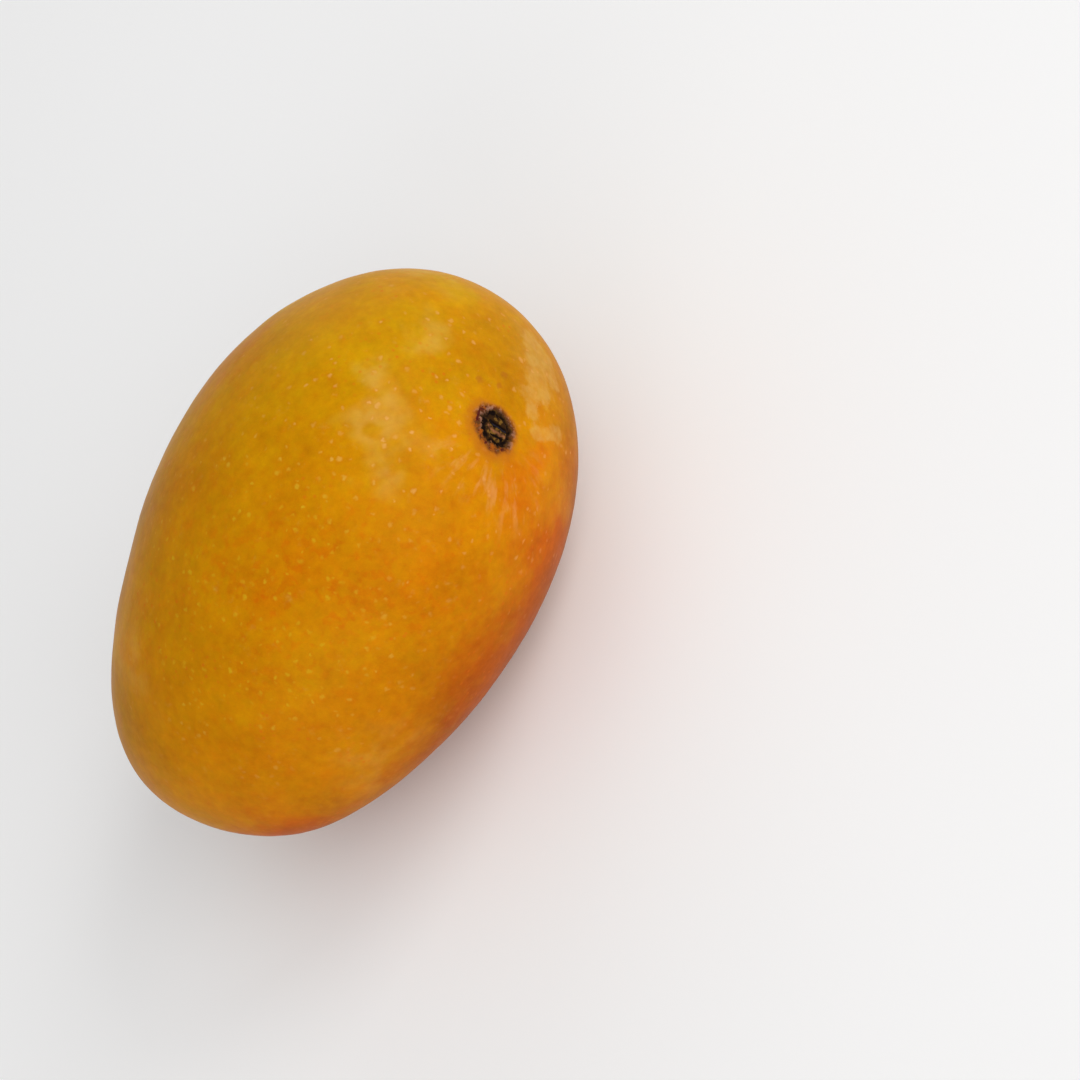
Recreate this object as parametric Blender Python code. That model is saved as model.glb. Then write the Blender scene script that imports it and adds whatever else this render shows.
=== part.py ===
"""A ripe mango lying on its cheek, with its stem broken off at the scar.

Metres, +Z up. +X runs towards the stem end and -Y is the side that the scar leans to.
The origin is under the middle of the fruit, on the surface that it rests on.
"""
import math

import bmesh
import bpy
import numpy as np
from mathutils import Matrix, Vector

# Body of the fruit: half its length, its width and its thickness across the cheeks
HALF_LENGTH = 0.0503
HALF_WIDTH = 0.0343
HALF_THICKNESS = 0.0311
# How much thicker the cheeks are at the stem end, as a share
CHEEK_TAPER = 0.096
# How far the two ends curve towards +Y and towards -Z
END_CURVE_Y = 0.00095
END_CURVE_Z = -0.0006

# Soft swellings and hollows of the flesh: longitude, latitude, height and reach.
# Longitudes run from the stem end towards -Y and latitudes upwards, both in degrees, as does the reach.
SWELLINGS = {
    "back shoulder": (-67, 14, 0.0025, 29),
    "front shoulder": (60, 14, 0.0025, 26),
    "beak": (133, -11, 0.0018, 20),
    "upper back": (-136, 43, -0.0022, 31),
    "belly": (114, -15, 0.0016, 35),
}

# Blunt stem end: the direction and distance of the plane that the body is rounded off against,
# how softly it rounds off, and the share of the bulge beyond the plane that stays
BASE_DIRECTION = (34, 10)
BASE_DISTANCE = 0.0400
BASE_ROUNDING = 0.005
BASE_BULGE = 0.45

# Stem scar: where it sits, the half-axes of its corky rim, and the turn of its long axis
SCAR_DIRECTION = (40.2, 9.5)
SCAR_HALF_LENGTH = 0.0044
SCAR_HALF_WIDTH = 0.0041
SCAR_TURN = math.radians(52)
# How far round the fruit, in radians, the slope under the scar is sampled
SCAR_SAMPLE = 0.02
# Relief across the scar: radius as a share of the rim's, height or depth, and width of each feature
CAVITY = (0.0, -0.0008, 1.5)
RIM = (0.88, 0.00022, 0.14)
PIT = (0.0, -0.0005, 0.30)
# Two rings inside the rim, whose middle lies off the scar's by a share of its half width
RING_OFFSET = 0.16
DARK_RING = (0.57, -0.00036, 0.12)
INNER_RING = (0.38, 0.00012, 0.10)

# How the fruit settles on its cheek: turns about Y and X, and the depth of the flattened spot
REST_PITCH = math.radians(-4.6)
REST_ROLL = math.radians(-0.5)
FLAT_DEPTH = 0.0004

# Mesh: rings run round the scar, and crowd together over it
SEGMENTS = 64
RINGS = 72
RING_CROWDING = 0.17
RING_CROWDING_SPAN = 0.2

# Skin: ripe yellow-orange with a satin, waxy surface
SKIN_COLOUR = (0.61, 0.22, 0.012, 1.0)
SKIN_ROUGHNESS = 0.42


def direction(longitude, latitude):
    """Unit vector at a longitude from the stem end towards -Y and a latitude upwards, in degrees."""
    lon = math.radians(longitude)
    lat = math.radians(latitude)
    return np.array([math.cos(lon) * math.cos(lat), -math.sin(lon) * math.cos(lat), math.sin(lat)])


def body_points(units):
    """Points of the smooth body along unit directions: a curved egg, its swellings and its blunt base."""
    along = units[:, 0]
    curve = along ** 2 - 1 / 3
    points = np.stack([
        HALF_LENGTH * along,
        HALF_WIDTH * units[:, 1] + END_CURVE_Y * curve,
        HALF_THICKNESS * units[:, 2] * (1 + CHEEK_TAPER * along) + END_CURVE_Z * curve,
    ], axis=1)
    for longitude, latitude, height, reach in SWELLINGS.values():
        cosine = np.clip(units @ direction(longitude, latitude), -1, 1)
        swell = height * np.exp(-(np.arccos(cosine) / math.radians(reach)) ** 2)
        points += swell[:, None] * units
    base = direction(*BASE_DIRECTION)
    beyond = (points @ base - BASE_DISTANCE) / BASE_ROUNDING
    trim = (1 - BASE_BULGE) * BASE_ROUNDING * np.logaddexp(0, beyond)
    return points - trim[:, None] * base


def scar_frame():
    """Centre of the scar, its outward normal, and the directions of its long and short axes."""
    pole = direction(*SCAR_DIRECTION)
    side = np.cross(pole, (0.0, 0.0, 1.0))
    side /= np.linalg.norm(side)
    rise = np.cross(side, pole)
    side *= SCAR_SAMPLE
    rise *= SCAR_SAMPLE
    around = [pole, pole + side, pole - side, pole + rise, pole - rise]
    units = np.array([unit / np.linalg.norm(unit) for unit in around])
    centre, right, left, upper, lower = body_points(units)
    normal = np.cross(upper - lower, right - left)
    normal /= np.linalg.norm(normal)
    level = np.cross(normal, (0.0, 0.0, 1.0))
    level /= np.linalg.norm(level)
    long_way = math.cos(SCAR_TURN) * np.cross(normal, level) + math.sin(SCAR_TURN) * level
    return centre, normal, long_way, np.cross(normal, long_way)


def fruit_points(units):
    """Body points with the relief of the stem scar added."""
    points = body_points(units)
    centre, normal, long_way, short_way = scar_frame()
    offset = points - centre
    along = offset @ long_way / SCAR_HALF_LENGTH
    side = offset @ short_way / SCAR_HALF_WIDTH
    depth = offset @ normal / SCAR_HALF_WIDTH
    radius = np.sqrt(along ** 2 + side ** 2 + depth ** 2)
    ringed = np.sqrt(along ** 2 + (side - RING_OFFSET) ** 2 + depth ** 2)
    relief = np.zeros(len(points))
    for place, height, width in (CAVITY, RIM, PIT):
        relief += height * np.exp(-((radius - place) / width) ** 2)
    for place, height, width in (DARK_RING, INNER_RING):
        relief += height * np.exp(-((ringed - place) / width) ** 2)
    return points + relief[:, None] * normal


def crowded(angle):
    """Polar angle of a ring, moved so that rings crowd together over the scar."""
    share = angle / math.pi
    pull = RING_CROWDING * math.tanh(share / RING_CROWDING_SPAN)
    pull_at_end = RING_CROWDING * math.tanh(1 / RING_CROWDING_SPAN)
    return math.pi * (share - pull) / (1 - pull_at_end)


def make_skin(bm):
    """Closed skin: a sphere whose pole is the scar, each vertex moved out to the fruit's surface."""
    bmesh.ops.create_uvsphere(bm, u_segments=SEGMENTS, v_segments=RINGS, radius=1.0)
    to_scar = Vector((0, 0, 1)).rotation_difference(Vector(direction(*SCAR_DIRECTION)))
    units = []
    for vert in bm.verts:
        polar = crowded(math.acos(max(-1.0, min(1.0, vert.co.z))))
        azimuth = math.atan2(vert.co.y, vert.co.x)
        flat_way = Vector((math.cos(azimuth), math.sin(azimuth), 0))
        units.append(to_scar @ (math.sin(polar) * flat_way + Vector((0, 0, math.cos(polar)))))
    for vert, point in zip(bm.verts, fruit_points(np.array(units))):
        vert.co = point


def settle(bm):
    """Turns the fruit to its resting pose and flattens the spot that it lies on."""
    turn = Matrix.Rotation(REST_PITCH, 3, "Y") @ Matrix.Rotation(REST_ROLL, 3, "X")
    bmesh.ops.rotate(bm, verts=bm.verts, cent=(0, 0, 0), matrix=turn)
    places = np.array([vert.co for vert in bm.verts])
    middle = (places.min(axis=0) + places.max(axis=0)) / 2
    floor = places[:, 2].min() + FLAT_DEPTH
    bmesh.ops.translate(bm, verts=bm.verts, vec=(-middle[0], -middle[1], -floor))
    whole = bm.verts[:] + bm.edges[:] + bm.faces[:]
    cut = bmesh.ops.bisect_plane(bm, geom=whole, plane_co=(0, 0, 0), plane_no=(0, 0, 1), clear_inner=True)
    rim_edges = [item for item in cut["geom_cut"] if isinstance(item, bmesh.types.BMEdge)]
    bmesh.ops.edgenet_fill(bm, edges=rim_edges)
    bmesh.ops.recalc_face_normals(bm, faces=bm.faces)


def skin_material():
    material = bpy.data.materials.new("mango_skin")
    material.use_nodes = True
    shader = material.node_tree.nodes["Principled BSDF"]
    shader.inputs["Base Color"].default_value = SKIN_COLOUR
    shader.inputs["Roughness"].default_value = SKIN_ROUGHNESS
    shader.inputs["Metallic"].default_value = 0.0
    return material


def build_mango():
    bm = bmesh.new()
    make_skin(bm)
    settle(bm)
    mesh = bpy.data.meshes.new("mango")
    bm.to_mesh(mesh)
    bm.free()
    mesh.materials.append(skin_material())
    mesh.shade_smooth()
    mango = bpy.data.objects.new("mango", mesh)
    bpy.context.scene.collection.objects.link(mango)
    return mango


def main():
    for item in list(bpy.data.objects):
        bpy.data.objects.remove(item, do_unlink=True)
    build_mango()


main()
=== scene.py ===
"""A ripe mango lying on its cheek on a pale floor, seen from above and to one side.

Metres, +Z up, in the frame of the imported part: +X runs towards the stem end, and -Y is the side
that the stem scar leans to. One fine skin stands for the part's single solid.
"""
import math

import bpy
import numpy as np
from mathutils import Matrix, Vector, noise

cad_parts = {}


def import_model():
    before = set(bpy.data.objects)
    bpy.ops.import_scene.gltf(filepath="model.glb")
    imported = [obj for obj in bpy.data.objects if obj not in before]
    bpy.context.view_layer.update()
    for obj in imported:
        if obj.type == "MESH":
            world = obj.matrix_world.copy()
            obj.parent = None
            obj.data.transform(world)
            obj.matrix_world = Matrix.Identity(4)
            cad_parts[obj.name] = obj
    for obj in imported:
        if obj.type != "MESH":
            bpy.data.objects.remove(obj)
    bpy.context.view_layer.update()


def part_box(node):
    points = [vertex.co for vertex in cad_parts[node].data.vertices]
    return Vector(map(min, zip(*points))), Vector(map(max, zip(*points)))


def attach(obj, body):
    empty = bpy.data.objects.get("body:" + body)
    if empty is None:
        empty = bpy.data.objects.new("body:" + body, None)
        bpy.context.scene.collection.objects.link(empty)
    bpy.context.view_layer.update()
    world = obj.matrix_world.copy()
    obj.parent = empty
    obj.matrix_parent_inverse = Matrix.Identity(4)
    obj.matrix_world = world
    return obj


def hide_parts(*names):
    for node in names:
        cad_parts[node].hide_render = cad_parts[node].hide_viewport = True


# Body of the fruit, as in the part's source
HALF_LENGTH = 0.0503
HALF_WIDTH = 0.0343
HALF_THICKNESS = 0.0311
CHEEK_TAPER = 0.096
END_CURVE_Y = 0.00095
END_CURVE_Z = -0.0006
# Longitude from the stem end towards -Y, latitude upwards, height, and reach in degrees
SWELLINGS = {
    "back shoulder": (-67, 14, 0.0025, 29),
    "front shoulder": (60, 14, 0.0025, 26),
    "beak": (133, -11, 0.0018, 20),
    "upper back": (-136, 43, -0.0022, 31),
    "belly": (114, -15, 0.0016, 35),
}
BASE_DIRECTION = (34, 10)
BASE_DISTANCE = 0.0400
BASE_ROUNDING = 0.005
BASE_BULGE = 0.45
REST_PITCH = math.radians(-4.6)
REST_ROLL = math.radians(-0.5)

# Stem scar, as in the part's source
SCAR_DIRECTION = (40.2, 9.5)
SCAR_HALF_LENGTH = 0.0044
SCAR_HALF_WIDTH = 0.0041
SCAR_TURN = math.radians(52)
SCAR_SAMPLE = 0.02
# How far from its centre the scar's rings, puckers and marks reach, as a share of its radius
SCAR_REACH = 2.6

# Relief of the scar: place of each ring as a share of the scar's radius, height, and width
CAVITY_DEPTH = 0.0008
CAVITY_REACH = 1.5
RIM = (0.88, 0.00022, 0.13)
PIT = (0.0, -0.0005, 0.30)
# Two rings inside the rim, whose middle lies off the scar's by shares of its half length and width
RING_OFFSET = (0.04, 0.15)
DARK_RING = (0.57, -0.00036, 0.11)
INNER_RING = (0.38, 0.00012, 0.09)
# Lines in the scar, with corners in shares of its half length and half width
UPPER_SLOT = ((-0.31, 0.09), (-0.04, 0.30), (0.29, 0.49))
LOWER_SLOT = ((0.13, -0.14), (0.30, 0.03), (0.46, 0.10))
PALE_STRIP = ((-0.20, -0.06), (0.10, 0.10), (0.42, 0.27))
PALE_STRIP_WIDTH = 0.05
SLOT_WIDTH = 0.075
SLOT_DEPTH = 0.00030
# Where the scar, its dark core and the halo round it start and end to fade, as shares of the
# radius, and how much further the halo reaches on the clean side
SCAR_EDGE = (0.80, 1.04)
CORE_EDGE = (0.60, 0.80)
HALO_EDGE = (0.95, 1.35)
HALO_LEAN = 0.25
# Sides of the scar where its rim has least cork and where its dark ring is heaviest
CLEAN_SIDE = math.radians(-73)
HEAVY_SIDE = math.radians(-90)
# Uneven shape of the scar: size of its coarse and fine features, and the height of the fine ones
SCAR_COARSE = 0.0016
SCAR_FINE = 0.0005
SCAR_GRAIN_HEIGHT = 0.00008
# How far the coarse and the fine features move the rim, the rings and the lines, in shares
RIM_WOBBLE = (0.08, 0.04)
RING_WOBBLE = (0.10, 0.07)
LINE_WOBBLE = 0.02
STRIP_WOBBLE = 0.03
# Lobes of the rim: how many, how far out, and their turn
RIM_LOBES = (3, 0.03, 0.6)
# Height of the rim as a share, and how much the coarse features add
RIM_SHARE = (0.75, 0.8)
# Coarse features at which the dark ring breaks off, how much lighter it is on one side, and where
# the rim's rough side starts and ends
RING_GAPS = (-0.9, -0.1)
RING_LEAN = 0.16
ROUGH_SIDE = (0.1, 0.6)

# Seeds of the noise in the shape, and the way in which a seed moves it
COARSE_SEED = 3.0
FINE_SEED = 9.0
UNDULATION_SEEDS = (20.0, 25.0, 30.0)
SEED_WAY = (1.0, 2.7, -1.3)

# Gentle unevenness of the skin: size of the waves and their height
UNDULATIONS = ((0.022, 0.00022), (0.008, 0.00006), (0.0028, 0.000016))
# Puckers in the skin round the scar, and where they start and end, as shares of its radius
PUCKER_COUNT = 11
PUCKER_HEIGHT = 0.00005
PUCKER_START = (0.9, 1.3)
PUCKER_END = (1.4, SCAR_REACH)

# Height of the fruit's middle, which the camera and the lights face
MIDDLE_HEIGHT = 0.031

# Camera: 100 mm lens on 36 mm film, with the fruit left of the middle of the frame
CAMERA_ELEVATION = math.radians(43.24)
CAMERA_AZIMUTH = math.radians(12.76)
CAMERA_ROLL = math.radians(-59.33)
CAMERA_DISTANCE = 0.48336
FRUIT_LEFT_OF_AXIS = 0.03393
FRUIT_BELOW_AXIS = 0.00233
LENS = 100.0
FILM = 36.0

# Soft lights: direction from the fruit, distance, size and power in watts
LIGHTS = {
    "high_light": ((0.82, -0.07, 0.54), 1.2, 0.45, 3.0),
    "front_light": ((0.48, -0.70, 0.52), 1.5, 1.5, 12.5),
    "side_light": ((0.49, 0.85, 0.25), 1.5, 1.2, 5.0),
    "tail_light": ((-0.50, -0.85, 0.25), 1.5, 1.2, 5.2),
}
WORLD_STRENGTH = 0.48

# Pale floor, a square that reaches far out of the picture
FLOOR_HALF = 6.0
FLOOR_COLOUR = (0.95, 0.95, 0.95)
FLOOR_ROUGHNESS = 0.9
FLOOR_SPECULAR = 0.1

# Fine mesh: rings run round the scar and crowd together over it
SEGMENTS = 360
RINGS = 276
RING_CROWDING = 0.185
RING_CROWDING_SPAN = 0.2

# Skin colour: red, then in shares of it green, how that grows in a metre, its limits, and blue
SKIN_RED = 0.53
GREEN_SHARE = 0.413
GREEN_SLOPE = (0.3, 2.0, 0.5)
GREEN_LEAST = 0.27
GREEN_MOST = 0.46
BLUE_SHARE = 0.001
# Texture in the green share and in the red: size of the features, detail, roughness, and strength
GREEN_TEXTURE = ((0.026, 2.0, 0.5, 0.10), (0.0060, 3.0, 0.5, 0.10), (0.0020, 3.0, 0.55, 0.135))
RED_TEXTURE = ((0.008, 3.0, 0.5, 0.18), (0.0016, 3.0, 0.7, 0.20))
# Painted shade on the low side: heights between which the skin turns darker and deeper orange, and how
# much green and red it loses
LOW_SHADE = (0.031, 0.010)
LOW_SHADE_GREEN = -0.10
LOW_SHADE_RED = -0.17
# Least share of green anywhere on the skin
LEAST_GREEN_SHARE = 0.195
# How the zones' edges wander: waves in a metre, and the strength of the move
ZONE_WAVES = 90.0
ZONE_WANDER = (0.02, 0.02, 0.02)
# Share of its reach over which a zone or a freckle keeps its full strength
ZONE_CORE = 0.1
# Soft zones of the skin: centre and reach in millimetres, and what they add to the green share
HUE_ZONES = {
    # Part of the crown's green is a painted highlight
    "crown": ((32, -6, 55), 17, 0.06),
    "stem side": ((39, -7, 49), 9, 0.045),
    "under crown": ((23, -21, 53), 9, 0.045),
    "left of scar": ((36, -16, 45), 8, 0.03),
    "belly green": ((-6, -30, 45), 10, 0.045),
    "belly orange": ((4, -20, 56), 10, -0.03),
    "belly blush": ((-5, -21, 54), 8, -0.05),
    "front blush": ((12, -33, 42), 13, -0.03),
    "tail speckle": ((-16, -24, 49), 6, -0.03),
    # Painted shade: deeper orange on the low front and right side
    "front low side": ((8, -33, 17), 20, -0.12),
    "right low side": ((24, -28, 19), 11, -0.07),
    "tip": ((-38, -26, 22), 14, -0.115),
    "below scar": ((30, -26, 24), 17, -0.11),
    "scar side": ((35, -20, 30), 7, -0.06),
    "back of belly": ((-14, 6, 58), 24, -0.03),
    "far cheek blush": ((-8, 30, 26), 22, -0.13),
    "far tail": ((-38, 12, 34), 14, -0.06),
    "crown rim": ((46.5, 4, 43), 9, 0.09),
    "ridge": ((0, 2, 61), 16, -0.035),
    "ridge blush": ((15, 15, 58.5), 13, -0.085),
    "top rim": ((29, 21, 50), 9, 0.05),
    "streaked side": ((24, -28, 32), 6, 0.04),
    "right of scar": ((39, -18, 27), 6, -0.03),
    "right rim": ((33, -23, 23), 9, 0.10),
}
# Orange-red mottling: its depth, its strength everywhere, and the zones where it is stronger
MOTTLE_DEPTH = 0.065
MOTTLE_LEAST = 0.25
MOTTLED_ZONES = {
    "belly": ((-4, -20, 54), 24, 0.75),
    "front": ((12, -31, 44), 20, 0.45),
    "far cheek": ((-6, 30, 30), 30, 0.6),
    "ridge": ((15, 15, 58.5), 15, 0.5),
}
# Parts of the skin that are a little darker or lighter: centre, reach, and what they add to red.
# The front, front low and low end zones are painted shade, and the rim zones are painted light.
SHADE_ZONES = {
    "shoulder": ((43, -8, 41), 11, -0.09),
    "front": ((9, -34, 31), 16, -0.06),
    "front low": ((-4, -34, 26), 14, -0.06),
    "ridge": ((0, 2, 61), 16, -0.02),
    "right rim": ((36, -20, 23), 12, 0.11),
    "stem end": ((46, -7, 31), 10, -0.06),
    "left rim": ((-28, 4, 51), 14, 0.09),
    "top rim": ((28, 25, 49), 11, 0.05),
    "above scar": ((40, -13, 40), 8, -0.03),
    "low end": ((-28, -31, 23), 14, -0.05),
}
# Pale painted highlight and sheen on the waxy skin, thickest on the crown: centre, reach, and strength
PAINTED_SHEEN_ZONES = {
    "high crown": ((30, -10, 56), 6, 0.22),
    "middle crown": ((26, -16, 55), 6, 0.20),
    "under crown": ((22, -22, 53), 7, 0.20),
    "stem side": ((39, -7, 49), 6, 0.19),
    "crown rim": ((45, 8, 45), 9, 0.10),
    "low front": ((-17, -34, 26), 12, 0.07),
    "left rim": ((-30, 1, 51), 13, 0.10),
    "back of stem": ((44, 12, 38), 10, 0.12),
    "right of stem": ((46, -6, 30), 8, 0.07),
}
PAINTED_SHEEN_COLOUR = (0.78, 0.52, 0.13)
# Paler patches beside the scar, where the painted sheen is thick: centre and reach
PATCHES = (
    ((46.6, -6.6, 30.2), 3.8), ((46.8, -6.1, 27.5), 4.2), ((44.6, -10.4, 30.3), 4.6),
    ((47.8, -3.8, 29.8), 3.6), ((42.1, -13.9, 31.8), 3.4), ((43.0, -12.9, 28.6), 4.0),
    ((45.0, -9.4, 25.8), 3.4), ((40.3, -16.4, 31.5), 2.6),
    ((38.3, -19.0, 30.5), 2.2), ((38.7, -18.5, 28.6), 2.3), ((39.1, -18.0, 26.9), 2.3),
    ((39.7, -16.9, 24.6), 2.5),
)
PATCH_COLOUR = (0.66, 0.44, 0.13)
# Ragged edge of the patches: its texture, and the fade that turns it into strength
PATCH_TEXTURE = ((0.0026, 4.0, 0.6, 2.2),)
PATCH_FADE = (0.22, 1.00, 0.0, 0.28)
# Streaks that run out from the scar: middle, reach and strength
STREAK_ZONES = {"below scar": ((31, -26, 35), 11, 1.0), "left of scar": ((30, -24, 43), 8, 0.7)}
STREAK_COLOUR = (0.74, 0.35, 0.13)
# Distances from the scar's centre between which they start, and how fast they change round the
# scar and along the skin
STREAK_START = (0.0055, 0.0095)
STREAK_ROUND = (0.012, 0.012, 0.012)
STREAK_ALONG = (0.5, 0.5, 0.5)
# Red-brown freckles above the scar: centre and reach in millimetres
FRECKLES = ((39.8, -13.4, 41.4, 1.0), (42.2, -12.3, 37.0, 0.9), (40.6, -14.0, 38.0, 0.8))
FRECKLE_COLOUR = (0.34, 0.07, 0.01)
FRECKLE_STRENGTH = 0.42
FRECKLE_EDGE = ((0.0009, 2.0, 0.5, 0.0014),)
# Soft clouds in the colour: size, detail, roughness, then the start, end and values of their fade
CLOUDS = {
    "blotch": (0.0017, 2.0, 0.5, 0.0, 0.16),
    "painted_sheen": (0.0045, 2.0, 0.5, -0.15, 0.12, 0.15, 1.3),
    "patch": (0.0015, 3.0, 0.6, -0.15, 0.12, 0.6, 1.1),
    "streak": (0.0024, 3.0, 0.5, -0.02, 0.20, 0.0, 0.34),
    "speck": (0.014, 2.0, 0.5, -0.02, 0.16),
}

# Lenticels, the pale breathing pores: size of the cells that may hold one, and radius of a dot
LENTICEL_CELL = 0.0017
LENTICEL_RADIUS = 0.00046
# Radius of the smallest and of the largest dot, as shares of that one
LENTICEL_RADII = (0.7, 1.3)
# Where a dot and the orange halo round it fade out, as shares of the dot's own radius
LENTICEL_EDGE = (0.25, 1.05, 1.0, 0.0)
LENTICEL_HALO_EDGE = (0.9, 2.2, 1.0, 0.0)
LENTICEL_HALO_STRENGTH = 0.16
# Strength of the faintest dot and of the clearest one
LENTICEL_STRENGTH = (0.36, 0.91)
# Draw above which a cell holds a lenticel, with a soft edge, and how patchy they are
LENTICEL_DRAW = (0.38, 0.50)
LENTICEL_PATCHES = ((0.012, 2.0, 0.5, 0.8),)
# How the dots are moved about in their cells: waves in a metre, and the strength of the move
LENTICEL_WAVES = 1100.0
LENTICEL_WANDER = (0.0009, 0.0009, 0.0009)
LENTICEL_YELLOW = (0.60, 0.40, 0.012)
LENTICEL_PINK = (0.74, 0.37, 0.11)
# Where they show: middle, which at the stem is the scar's, the distances between which they fade,
# and the values there and beyond. They are clearest on the belly and the crown, and faintest on the
# low, smooth flank.
LENTICEL_BELLY = ((-0.008, -0.018, 0.055), 0.016, 0.036, 0.5, 0.0)
LENTICEL_FLANK = ((-0.018, -0.033, 0.028), 0.022, 0.048, 0.09, 0.24)
LENTICEL_CROWN = ((0.028, -0.012, 0.055), 0.007, 0.022, 0.28, 0.0)
LENTICEL_STEM = (0.012, 0.034, 1.0, 0.0)
LENTICEL_BELLY_SHARE = 0.9
LENTICEL_STEM_SHARE = 0.22
# Fine orange-red specks: size of their cells, radius, fade of their edge, and strength
SPECK_CELL = 0.0014
SPECK_RADIUS = 0.00028
SPECK_EDGE = (0.3 * SPECK_RADIUS, 1.6 * SPECK_RADIUS, 1.0, 0.0)
SPECK_STRENGTH = 0.55
SPECK_COLOUR = (0.60, 0.13, 0.004)

# Waxy shine of the skin, what the corky scar adds to its roughness, and its fine grain
SKIN_ROUGHNESS = 0.42
ROUGHNESS_TEXTURE = ((0.006, 3.0, 0.5, 0.18),)
SCAR_ROUGHNESS = 0.35
SKIN_SPECULAR = 0.025
SHEEN = 0.03
SHEEN_ROUGHNESS = 0.3
GRAIN_SIZE = 0.0006
GRAIN_HEIGHT = 0.00004
GRAIN_STRENGTH = 0.6

# Scar colours
SCAR_BLACK = (0.0075, 0.0035, 0.0025)
SCAR_OLIVE = (0.034, 0.014, 0.004)
SCAR_BUFF = (0.17, 0.085, 0.014)
SCAR_PINK = (0.27, 0.10, 0.045)
SCAR_CORK = (0.30, 0.14, 0.085)
SCAR_RUST = (0.30, 0.075, 0.007)
SCAR_BROWN = (0.11, 0.040, 0.010)
SCAR_MAROON = (0.075, 0.010, 0.008)
# Bluish grey painted glint on the floor of the upper slot
SCAR_GLINT = (0.045, 0.040, 0.065)
SCAR_HALO = (0.42, 0.115, 0.008)
SCAR_HALO_STRENGTH = 0.62
# Layers over the scar: colour, the start and end of the fade that brings it in, and the fade's two
# values where they aren't 0 and 1
SCAR_LAYERS = {
    "brown": (SCAR_BROWN, -0.10, 0.12),
    "cork": (SCAR_CORK, 0.09, 0.24),
    "maroon": (SCAR_MAROON, 0.04, 0.14),
    "buff": (SCAR_BUFF, -0.03, 0.13),
    "ring": (SCAR_BLACK, 0.34, 0.75),
    "groove": (SCAR_BLACK, 0.25, 0.7),
    "slot": (SCAR_BLACK, 0.2, 0.6),
    "slot glint": (SCAR_GLINT, 0.85, 1.0, 0.0, 0.35),
}
# Noise in the scar's colour: size of the features, detail, and roughness
SCAR_GRAIN = (0.0009, 3.0, 0.6)
SCAR_FLECKS = (0.0008, 2.0, 0.6)
SCAR_CORK_GRAIN = (0.0012, 3.0)
# Wear of the pale strip, more cork and flecks on the rim's rough side, and flecks in the dark ring
STRIP_WEAR = (-0.12, 0.04, 0.3, 0.9)
CORK_ON_ROUGH_SIDE = 0.20
MAROON_ON_ROUGH_SIDE = 0.09
RING_BREAKS = 1.3

# Places of the colour sockets among the inputs and outputs of a mix node
MIX_FIRST = 6
MIX_SECOND = 7
MIX_RESULT = 2


def direction(longitude, latitude):
    """Unit vector at a longitude from the stem end towards -Y and a latitude upwards, in degrees."""
    lon = math.radians(longitude)
    lat = math.radians(latitude)
    return np.array([math.cos(lon) * math.cos(lat), -math.sin(lon) * math.cos(lat), math.sin(lat)])


def body_points(units):
    """Smooth body along unit directions: a curved egg, its swellings and its blunt base."""
    along = units[:, 0]
    curve = along ** 2 - 1 / 3
    points = np.stack([
        HALF_LENGTH * along,
        HALF_WIDTH * units[:, 1] + END_CURVE_Y * curve,
        HALF_THICKNESS * units[:, 2] * (1 + CHEEK_TAPER * along) + END_CURVE_Z * curve,
    ], axis=1)
    for longitude, latitude, height, reach in SWELLINGS.values():
        cosine = np.clip(units @ direction(longitude, latitude), -1, 1)
        swell = height * np.exp(-(np.arccos(cosine) / math.radians(reach)) ** 2)
        points += swell[:, None] * units
    base = direction(*BASE_DIRECTION)
    beyond = (points @ base - BASE_DISTANCE) / BASE_ROUNDING
    trim = (1 - BASE_BULGE) * BASE_ROUNDING * np.logaddexp(0, beyond)
    return points - trim[:, None] * base


def scar_frame():
    """Centre of the scar, its outward normal, and the directions of its long and short axes."""
    pole = direction(*SCAR_DIRECTION)
    side = np.cross(pole, (0.0, 0.0, 1.0))
    side /= np.linalg.norm(side)
    rise = np.cross(side, pole)
    side *= SCAR_SAMPLE
    rise *= SCAR_SAMPLE
    around = [pole, pole + side, pole - side, pole + rise, pole - rise]
    units = np.array([unit / np.linalg.norm(unit) for unit in around])
    centre, right, left, upper, lower = body_points(units)
    normal = np.cross(upper - lower, right - left)
    normal /= np.linalg.norm(normal)
    level = np.cross(normal, (0.0, 0.0, 1.0))
    level /= np.linalg.norm(level)
    long_way = math.cos(SCAR_TURN) * np.cross(normal, level) + math.sin(SCAR_TURN) * level
    return centre, normal, long_way, np.cross(normal, long_way)


def grid_directions():
    """Unit directions of the fine mesh: a pole over the scar, rings of points, and the far pole."""
    share = np.arange(1, RINGS) / RINGS
    pull = RING_CROWDING * np.tanh(share / RING_CROWDING_SPAN)
    pull_at_end = RING_CROWDING * math.tanh(1 / RING_CROWDING_SPAN)
    polar = math.pi * (share - pull) / (1 - pull_at_end)
    azimuth = np.arange(SEGMENTS) * (2 * math.pi / SEGMENTS)
    ring, turn = np.meshgrid(polar, azimuth, indexing="ij")
    local = np.stack([np.sin(ring) * np.cos(turn), np.sin(ring) * np.sin(turn), np.cos(ring)], axis=-1)
    local = np.vstack([[0.0, 0.0, 1.0], local.reshape(-1, 3), [0.0, 0.0, -1.0]])
    to_scar = Vector((0, 0, 1)).rotation_difference(Vector(direction(*SCAR_DIRECTION))).to_matrix()
    return local @ np.array(to_scar).T


def grid_faces():
    """Faces of the fine mesh, outward: a fan at each pole and quads between the rings."""
    step = np.arange(SEGMENTS)
    following = (step + 1) % SEGMENTS
    first = 1 + step
    faces = [(0, int(a), int(b)) for a, b in zip(first, 1 + following)]
    for ring in range(RINGS - 2):
        inner = 1 + ring * SEGMENTS
        outer = inner + SEGMENTS
        corners = np.stack([inner + step, outer + step, outer + following, inner + following], axis=1)
        faces.extend(map(tuple, corners.tolist()))
    last = 1 + (RINGS - 2) * SEGMENTS
    pole = 1 + (RINGS - 1) * SEGMENTS
    faces.extend((int(last + b), int(last + a), pole) for a, b in zip(step, following))
    return faces


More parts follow.
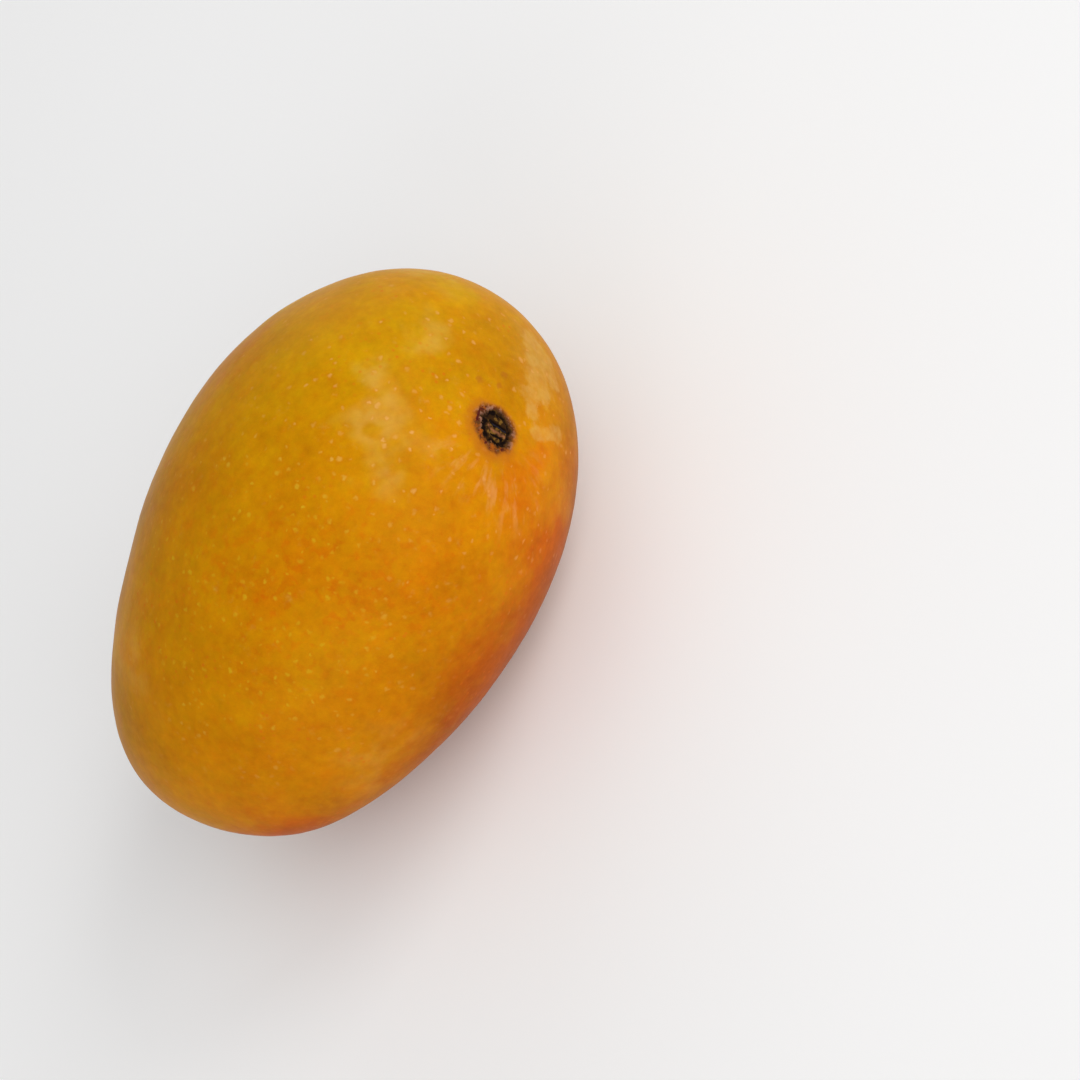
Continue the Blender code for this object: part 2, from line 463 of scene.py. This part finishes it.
def fractal(points, size, seed, octaves=2):
    """Smooth noise, about -1 to 1, whose features have a given size."""
    shift = Vector([seed * share for share in SEED_WAY])
    scaled = points / size
    return np.array([noise.fractal(Vector(point) + shift, 1.0, 2.0, octaves) for point in scaled])


def bell(value, place, width):
    """Smooth bump of height 1 at a place."""
    return np.exp(-((value - place) / width) ** 2)


def step_up(value, start, end):
    """Smooth rise from 0 at the start to 1 at the end."""
    share = np.clip((value - start) / (end - start), 0, 1)
    return share * share * (3 - 2 * share)


def way_to_line(along, side, corners):
    """Distance of points in a plane to an open line of a few corners."""
    nearest = np.full(len(along), np.inf)
    for (x0, y0), (x1, y1) in zip(corners, corners[1:]):
        run, rise = x1 - x0, y1 - y0
        share = ((along - x0) * run + (side - y0) * rise) / (run * run + rise * rise)
        share = np.clip(share, 0, 1)
        nearest = np.minimum(nearest, np.hypot(along - x0 - share * run, side - y0 - share * rise))
    return nearest


def scar_surface(points, frame):
    """Relief of the scar along its normal, and the marks that its material reads."""
    centre, normal, long_way, short_way = frame
    offset = points - centre
    along = offset @ long_way / SCAR_HALF_LENGTH
    side = offset @ short_way / SCAR_HALF_WIDTH
    depth = offset @ normal / SCAR_HALF_WIDTH
    radius = np.sqrt(along ** 2 + side ** 2 + depth ** 2)
    relief = -CAVITY_DEPTH * np.exp(-(radius / CAVITY_REACH) ** 2)
    near = np.nonzero(radius < SCAR_REACH)[0]
    r, u, v = radius[near], along[near], side[near]
    turn = np.arctan2(v, u)
    coarse = fractal(points[near], SCAR_COARSE, COARSE_SEED)
    fine = fractal(points[near], SCAR_FINE, FINE_SEED, 3)
    lobes, lobe_height, lobe_turn = RIM_LOBES
    shaped = r + RIM_WOBBLE[0] * coarse + lobe_height * np.sin(lobes * turn + lobe_turn)
    shaped += RIM_WOBBLE[1] * fine
    ringed = np.hypot(u - RING_OFFSET[0], v - RING_OFFSET[1])
    ringed += RING_WOBBLE[0] * coarse + RING_WOBBLE[1] * fine
    inside = 1 - step_up(shaped, *SCAR_EDGE)
    ring = bell(ringed, DARK_RING[0], DARK_RING[2])
    upper = bell(way_to_line(u, v, UPPER_SLOT) + LINE_WOBBLE * fine, 0, SLOT_WIDTH)
    lower = bell(way_to_line(u, v, LOWER_SLOT) + LINE_WOBBLE * fine, 0, SLOT_WIDTH)
    strip = bell(way_to_line(u, v, PALE_STRIP) + STRIP_WOBBLE * fine, 0, PALE_STRIP_WIDTH)
    heights = RIM[1] * bell(shaped, RIM[0], RIM[2]) * (RIM_SHARE[0] + RIM_SHARE[1] * coarse)
    heights += DARK_RING[1] * ring
    heights += INNER_RING[1] * bell(ringed, INNER_RING[0], INNER_RING[2])
    heights += PIT[1] * bell(r, PIT[0], PIT[2])
    heights -= SLOT_DEPTH * np.maximum(upper, lower)
    heights += SCAR_GRAIN_HEIGHT * fine * inside
    band = step_up(r, *PUCKER_START) * (1 - step_up(r, *PUCKER_END))
    relief[near] += heights + PUCKER_HEIGHT * np.sin(PUCKER_COUNT * turn + 3 * coarse) * band
    halo_end = HALO_EDGE[1] + HALO_LEAN * np.cos(turn - CLEAN_SIDE)
    heaviness = 1 - RING_LEAN + RING_LEAN * np.cos(turn - HEAVY_SIDE)
    local = {
        "scar": inside,
        "scar_core": 1 - step_up(ringed, *CORE_EDGE),
        "scar_ring": ring * step_up(coarse, *RING_GAPS) * heaviness,
        "scar_slot": upper,
        "scar_groove": lower,
        "scar_strip": strip,
        "scar_rough_side": step_up(0.5 - 0.5 * np.cos(turn - CLEAN_SIDE), *ROUGH_SIDE),
        "scar_halo": 1 - step_up(shaped, HALO_EDGE[0], halo_end),
    }
    marks = {}
    for name, values in local.items():
        marks[name] = np.zeros(len(points), dtype=np.float32)
        marks[name][near] = values
    return relief, marks


def undulation(points):
    """Gentle unevenness of the whole skin."""
    height = np.zeros(len(points))
    for (size, amount), seed in zip(UNDULATIONS, UNDULATION_SEEDS):
        height += amount * fractal(points, size, seed)
    return height


def settled(points):
    """Turns points of the fruit to its resting pose."""
    turn = Matrix.Rotation(REST_PITCH, 3, "Y") @ Matrix.Rotation(REST_ROLL, 3, "X")
    return points @ np.array(turn).T


def build_skin(low, high):
    """The whole fruit as one fine skin, set in the part's box."""
    units = grid_directions()
    body = body_points(units)
    scar = scar_frame()
    relief, marks = scar_surface(body, scar)
    points = body + relief[:, None] * scar[1] + undulation(body)[:, None] * units
    smooth = settled(body)
    shift = np.array([
        (low[0] + high[0] - smooth[:, 0].min() - smooth[:, 0].max()) / 2,
        (low[1] + high[1] - smooth[:, 1].min() - smooth[:, 1].max()) / 2,
        high[2] - smooth[:, 2].max(),
    ])
    placed = settled(points) + shift
    placed[:, 2] = np.maximum(placed[:, 2], low[2])
    mesh = bpy.data.meshes.new("mango_fine")
    mesh.from_pydata(placed.tolist(), [], grid_faces())
    for name, values in marks.items():
        layer = mesh.attributes.new(name, "FLOAT", "POINT")
        layer.data.foreach_set("value", values.astype(np.float32))
    mesh.update()
    mesh.shade_smooth()
    skin = bpy.data.objects.new("mango_fine", mesh)
    bpy.context.scene.collection.objects.link(skin)
    centre = settled(scar[0][None])[0] + shift
    return skin, centre


class Nodes:
    """Short calls that add shader nodes to one material."""

    def __init__(self, name):
        self.material = bpy.data.materials.new(name)
        self.material.use_nodes = True
        self.tree = self.material.node_tree
        self.shader = self.tree.nodes["Principled BSDF"]

    def put(self, socket, value):
        """Links a socket to another one, or gives it a number or colour."""
        if isinstance(value, bpy.types.NodeSocket):
            self.tree.links.new(value, socket)
        else:
            socket.default_value = value

    def add(self, kind, inputs, **settings):
        node = self.tree.nodes.new(kind)
        for name, value in settings.items():
            setattr(node, name, value)
        for socket, value in inputs.items():
            self.put(node.inputs[socket], value)
        return node

    def math(self, operation, first, second=0.0):
        return self.add("ShaderNodeMath", {0: first, 1: second}, operation=operation).outputs[0]

    def vector(self, operation, *vectors):
        inputs = dict(enumerate(vectors))
        return self.add("ShaderNodeVectorMath", inputs, operation=operation).outputs[0]

    def plus(self, first, *others):
        for other in others:
            first = self.math("ADD", first, other)
        return first

    def times(self, first, *others):
        for other in others:
            first = self.math("MULTIPLY", first, other)
        return first

    def fade(self, value, start, end, low=0.0, high=1.0):
        """Smooth change from low where the value is start to high where it is end."""
        inputs = {"Value": value, "From Min": start, "From Max": end, "To Min": low, "To Max": high}
        return self.add("ShaderNodeMapRange", inputs, interpolation_type="SMOOTHSTEP").outputs["Result"]

    def distance(self, first, second):
        node = self.add("ShaderNodeVectorMath", {0: first, 1: second}, operation="DISTANCE")
        return node.outputs["Value"]

    def around(self, place, middle, near, far, inner=1.0, outer=0.0):
        """Smooth change from one value near a middle to another one far from it."""
        return self.fade(self.distance(place, middle), near, far, inner, outer)

    def noise(self, place, size, detail=2.0, roughness=0.5):
        """Noise about 0, mostly from -0.2 to 0.2, whose features have a given size in metres."""
        inputs = {"Vector": place, "Scale": 1 / size, "Detail": detail, "Roughness": roughness}
        return self.math("SUBTRACT", self.add("ShaderNodeTexNoise", inputs).outputs[0], 0.5)

    def textures(self, place, table):
        """Noises of several sizes, each times its strength."""
        return [self.times(self.noise(place, *settings), strength) for *settings, strength in table]

    def clouds(self, place, name):
        """Soft clouds from the table of them."""
        size, detail, roughness, *span = CLOUDS[name]
        return self.fade(self.noise(place, size, detail, roughness), *span)

    def drift(self, place, waves, detail):
        """Noise in three directions, about 0.5 each, with a number of waves in a metre."""
        inputs = {"Vector": place, "Scale": waves, "Detail": detail}
        return self.add("ShaderNodeTexNoise", inputs).outputs["Color"]

    def cells(self, place, size):
        """Distance in metres to the nearest of scattered points, and that point's own colour."""
        node = self.add("ShaderNodeTexVoronoi", {"Vector": place, "Scale": 1 / size})
        return self.times(node.outputs["Distance"], size), node.outputs["Color"]

    def blend(self, factor, first, second):
        """Mix of two colours, from the first where the factor is 0 to the second where it is 1."""
        inputs = {0: factor, MIX_FIRST: first, MIX_SECOND: second}
        return self.add("ShaderNodeMix", inputs, data_type="RGBA").outputs[MIX_RESULT]

    def mark(self, name):
        """A mark that the mesh carries, from 0 to 1."""
        return self.add("ShaderNodeAttribute", {}, attribute_name=name).outputs["Fac"]

    def zones(self, place, table):
        """Sum of soft round zones, each its centre and reach in millimetres and its strength."""
        total = None
        for centre, reach, strength in table:
            middle = [value / 1000 for value in centre]
            zone = self.around(place, middle, ZONE_CORE * reach / 1000, reach / 1000, strength)
            total = zone if total is None else self.plus(total, zone)
        return total


def opaque(colour):
    return (*colour, 1.0)


def skin_colour(nodes, place):
    """Golden skin: red, green and blue shares from slopes, zones and mottling, with painted shade low
    down, painted light on the rims, and a painted highlight and sheen over it.
    """
    wander = nodes.vector("SUBTRACT", nodes.drift(place, ZONE_WAVES, 2.0), (0.5, 0.5, 0.5))
    warped = nodes.vector("ADD", place, nodes.vector("MULTIPLY", wander, ZONE_WANDER))
    slope = nodes.add("ShaderNodeVectorMath", {0: place, 1: GREEN_SLOPE}, operation="DOT_PRODUCT")
    level = nodes.plus(slope.outputs["Value"], GREEN_SHARE - GREEN_SLOPE[2] * MIDDLE_HEIGHT)
    limited = nodes.add("ShaderNodeClamp", {"Value": level, "Min": GREEN_LEAST, "Max": GREEN_MOST})
    height = nodes.add("ShaderNodeSeparateXYZ", {"Vector": warped}).outputs["Z"]
    # Painted shade: darker and deeper orange low on the fruit
    low = nodes.fade(height, *LOW_SHADE)
    mottled = nodes.plus(nodes.zones(warped, MOTTLED_ZONES.values()), MOTTLE_LEAST)
    green = nodes.plus(
        limited.outputs[0],
        nodes.times(low, LOW_SHADE_GREEN),
        nodes.zones(warped, HUE_ZONES.values()),
        *nodes.textures(place, GREEN_TEXTURE),
        nodes.times(nodes.clouds(place, "blotch"), mottled, -MOTTLE_DEPTH),
    )
    green = nodes.math("MAXIMUM", green, LEAST_GREEN_SHARE)
    red = nodes.plus(
        SKIN_RED,
        nodes.times(low, LOW_SHADE_RED),
        # Painted shade low on the front and painted light on the rims, with other darker parts
        nodes.zones(warped, SHADE_ZONES.values()),
        *nodes.textures(place, RED_TEXTURE),
    )
    inputs = {"Red": red, "Green": nodes.times(red, green), "Blue": nodes.times(red, BLUE_SHARE)}
    base = nodes.add("ShaderNodeCombineColor", inputs).outputs[0]
    # Painted highlight and sheen laid over the skin colour
    painted_sheen = nodes.times(nodes.zones(warped, PAINTED_SHEEN_ZONES.values()), nodes.clouds(place, "painted_sheen"))
    return nodes.blend(painted_sheen, base, opaque(PAINTED_SHEEN_COLOUR))


def add_stem_marks(nodes, place, scar_centre, colour):
    """Paler patches of painted sheen beside the scar, and streaks in the skin that run out from it."""
    table = [(centre, reach, 1.0) for centre, reach in PATCHES]
    ragged = nodes.plus(nodes.zones(place, table), *nodes.textures(place, PATCH_TEXTURE))
    # Patches of painted sheen beside the scar
    patch = nodes.times(nodes.fade(ragged, *PATCH_FADE), nodes.clouds(place, "patch"))
    colour = nodes.blend(patch, colour, opaque(PATCH_COLOUR))
    way = nodes.vector("NORMALIZE", nodes.vector("SUBTRACT", place, scar_centre))
    spread = nodes.vector("MULTIPLY", way, STREAK_ROUND)
    slow = nodes.vector("MULTIPLY", place, STREAK_ALONG)
    streak = nodes.clouds(nodes.vector("ADD", spread, slow), "streak")
    start = nodes.fade(nodes.distance(place, scar_centre), *STREAK_START)
    streak = nodes.times(streak, start, nodes.zones(place, STREAK_ZONES.values()))
    return nodes.blend(streak, colour, opaque(STREAK_COLOUR))


def add_specks(nodes, place, colour):
    """Fine orange-red specks in soft clouds, and freckles above the scar."""
    away, _ = nodes.cells(place, SPECK_CELL)
    speck = nodes.times(nodes.fade(away, *SPECK_EDGE), nodes.clouds(place, "speck"), SPECK_STRENGTH)
    colour = nodes.blend(speck, colour, opaque(SPECK_COLOUR))
    for x, y, z, reach in FRECKLES:
        near = nodes.distance(place, (x / 1000, y / 1000, z / 1000))
        ragged = nodes.plus(near, *nodes.textures(place, FRECKLE_EDGE))
        spot = nodes.fade(ragged, ZONE_CORE * reach / 1000, reach / 1000, FRECKLE_STRENGTH, 0.0)
        colour = nodes.blend(spot, colour, opaque(FRECKLE_COLOUR))
    return colour


def between(nodes, draw, span):
    """Value in a span, by a random draw from 0 to 1."""
    least, most = span
    return nodes.plus(nodes.times(draw, most - least), least)


def add_lenticels(nodes, place, scar_centre, colour):
    """Pale breathing pores, yellow on the belly and pinkish elsewhere."""
    shake = nodes.vector("MULTIPLY", nodes.drift(place, LENTICEL_WAVES, 1.0), LENTICEL_WANDER)
    away, own = nodes.cells(nodes.vector("ADD", place, shake), LENTICEL_CELL)
    draw = nodes.add("ShaderNodeSeparateColor", {"Color": own}).outputs
    belly = nodes.around(place, *LENTICEL_BELLY)
    used = nodes.plus(draw["Red"], belly, *nodes.textures(place, LENTICEL_PATCHES))
    clearness = nodes.plus(
        nodes.times(belly, LENTICEL_BELLY_SHARE),
        nodes.times(nodes.around(place, scar_centre, *LENTICEL_STEM), LENTICEL_STEM_SHARE),
        nodes.around(place, *LENTICEL_CROWN),
        nodes.around(place, *LENTICEL_FLANK),
    )
    shown = nodes.times(nodes.fade(used, *LENTICEL_DRAW), clearness)
    radius = nodes.times(between(nodes, draw["Green"], LENTICEL_RADII), LENTICEL_RADIUS)
    share = nodes.math("DIVIDE", away, radius)
    halo = nodes.times(nodes.fade(share, *LENTICEL_HALO_EDGE), shown, LENTICEL_HALO_STRENGTH)
    colour = nodes.blend(halo, colour, opaque(SPECK_COLOUR))
    dot = nodes.times(nodes.fade(share, *LENTICEL_EDGE), shown)
    tint = nodes.blend(nodes.times(belly, 2.0), opaque(LENTICEL_PINK), opaque(LENTICEL_YELLOW))
    return nodes.blend(nodes.times(dot, between(nodes, draw["Blue"], LENTICEL_STRENGTH)), colour, tint)


def add_layer(nodes, colour, name, value):
    """Lays one of the scar's layers over a colour where a value is high."""
    tint, *span = SCAR_LAYERS[name]
    return nodes.blend(nodes.fade(value, *span), colour, opaque(tint))


def add_scar(nodes, place, colour):
    """Corky stem scar: rusty rim with maroon flecks, and a dark ringed core with two slots."""
    scar, core, ring, slot, groove, strip, rough_side, halo = (
        nodes.mark(name) for name in (
            "scar", "scar_core", "scar_ring", "scar_slot", "scar_groove", "scar_strip",
            "scar_rough_side", "scar_halo",
        )
    )
    colour = nodes.blend(nodes.times(halo, SCAR_HALO_STRENGTH), colour, opaque(SCAR_HALO))
    flecks = nodes.noise(place, *SCAR_FLECKS)
    corky = nodes.noise(place, *SCAR_CORK_GRAIN)
    corky = nodes.plus(corky, nodes.times(rough_side, CORK_ON_ROUGH_SIDE))
    dotted = nodes.plus(flecks, nodes.times(rough_side, MAROON_ON_ROUGH_SIDE))
    rim = add_layer(nodes, opaque(SCAR_RUST), "brown", nodes.noise(place, *SCAR_GRAIN))
    rim = add_layer(nodes, rim, "cork", corky)
    rim = add_layer(nodes, rim, "maroon", dotted)
    inner = add_layer(nodes, opaque(SCAR_OLIVE), "buff", flecks)
    worn = nodes.times(strip, nodes.fade(flecks, *STRIP_WEAR))
    inner = nodes.blend(worn, inner, opaque(SCAR_PINK))
    cork = nodes.blend(core, rim, inner)
    cork = add_layer(nodes, cork, "ring", nodes.plus(ring, nodes.times(flecks, RING_BREAKS)))
    cork = add_layer(nodes, cork, "groove", groove)
    cork = add_layer(nodes, cork, "slot", slot)
    # Painted glint along the floor of the upper slot
    cork = add_layer(nodes, cork, "slot glint", slot)
    return nodes.blend(scar, colour, cork), scar


def skin_material(scar_centre):
    nodes = Nodes("mango_skin")
    place = nodes.add("ShaderNodeTexCoord", {}).outputs["Object"]
    colour = skin_colour(nodes, place)
    colour = add_stem_marks(nodes, place, tuple(scar_centre), colour)
    colour = add_specks(nodes, place, colour)
    colour = add_lenticels(nodes, place, tuple(scar_centre), colour)
    colour, scar = add_scar(nodes, place, colour)
    texture = nodes.textures(place, ROUGHNESS_TEXTURE)
    roughness = nodes.plus(SKIN_ROUGHNESS, *texture, nodes.times(scar, SCAR_ROUGHNESS))
    grain = nodes.times(nodes.noise(place, GRAIN_SIZE, 3.0), GRAIN_HEIGHT)
    bump = nodes.add("ShaderNodeBump", {"Height": grain, "Distance": 1.0, "Strength": GRAIN_STRENGTH})
    inputs = nodes.shader.inputs
    nodes.put(inputs["Base Color"], colour)
    nodes.put(inputs["Roughness"], roughness)
    nodes.put(inputs["Normal"], bump.outputs[0])
    inputs["Specular IOR Level"].default_value = SKIN_SPECULAR
    inputs["Sheen Weight"].default_value = SHEEN
    inputs["Sheen Roughness"].default_value = SHEEN_ROUGHNESS
    return nodes.material


def build_floor():
    mesh = bpy.data.meshes.new("floor")
    signs = ((-1, -1), (1, -1), (1, 1), (-1, 1))
    mesh.from_pydata([(x * FLOOR_HALF, y * FLOOR_HALF, 0) for x, y in signs], [], [(0, 1, 2, 3)])
    floor = bpy.data.objects.new("floor", mesh)
    bpy.context.scene.collection.objects.link(floor)
    nodes = Nodes("floor")
    nodes.shader.inputs["Base Color"].default_value = opaque(FLOOR_COLOUR)
    nodes.shader.inputs["Roughness"].default_value = FLOOR_ROUGHNESS
    nodes.shader.inputs["Specular IOR Level"].default_value = FLOOR_SPECULAR
    mesh.materials.append(nodes.material)


def view_axes():
    """Right, up and backward directions of the camera."""
    back = Vector((
        math.sin(CAMERA_AZIMUTH) * math.cos(CAMERA_ELEVATION),
        -math.cos(CAMERA_AZIMUTH) * math.cos(CAMERA_ELEVATION),
        math.sin(CAMERA_ELEVATION),
    ))
    level = Vector((0, 0, 1)).cross(back).normalized()
    turn = Matrix.Rotation(CAMERA_ROLL, 3, back)
    right = turn @ level
    return right, back.cross(right), back


def build_camera():
    right, up, back = view_axes()
    target = Vector((0, 0, MIDDLE_HEIGHT))
    place = target + right * FRUIT_LEFT_OF_AXIS + up * FRUIT_BELOW_AXIS + back * CAMERA_DISTANCE
    data = bpy.data.cameras.new("camera")
    data.lens = LENS
    data.sensor_width = FILM
    camera = bpy.data.objects.new("camera", data)
    camera.matrix_world = Matrix.Translation(place) @ Matrix((right, up, back)).transposed().to_4x4()
    bpy.context.scene.collection.objects.link(camera)
    bpy.context.scene.camera = camera


def soft_light(name, way, distance, size, power):
    """Square soft light that faces the fruit from a direction."""
    data = bpy.data.lights.new(name, "AREA")
    data.shape = "SQUARE"
    data.size = size
    data.energy = power
    light = bpy.data.objects.new(name, data)
    way = Vector(way).normalized()
    light.location = way * distance + Vector((0, 0, MIDDLE_HEIGHT))
    light.rotation_euler = way.to_track_quat("Z", "Y").to_euler()
    bpy.context.scene.collection.objects.link(light)


def build_lights():
    for name, settings in LIGHTS.items():
        soft_light(name, *settings)
    world = bpy.data.worlds.new("studio")
    world.use_nodes = True
    background = world.node_tree.nodes["Background"]
    background.inputs["Color"].default_value = (1.0, 1.0, 1.0, 1.0)
    background.inputs["Strength"].default_value = WORLD_STRENGTH
    bpy.context.scene.world = world


def main():
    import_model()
    low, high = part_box("mango")
    skin, scar_centre = build_skin(low, high)
    skin.data.materials.append(skin_material(scar_centre))
    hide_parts("mango")
    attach(skin, "root")
    build_floor()
    build_camera()
    build_lights()
    bpy.context.scene.view_settings.view_transform = "Standard"


main()
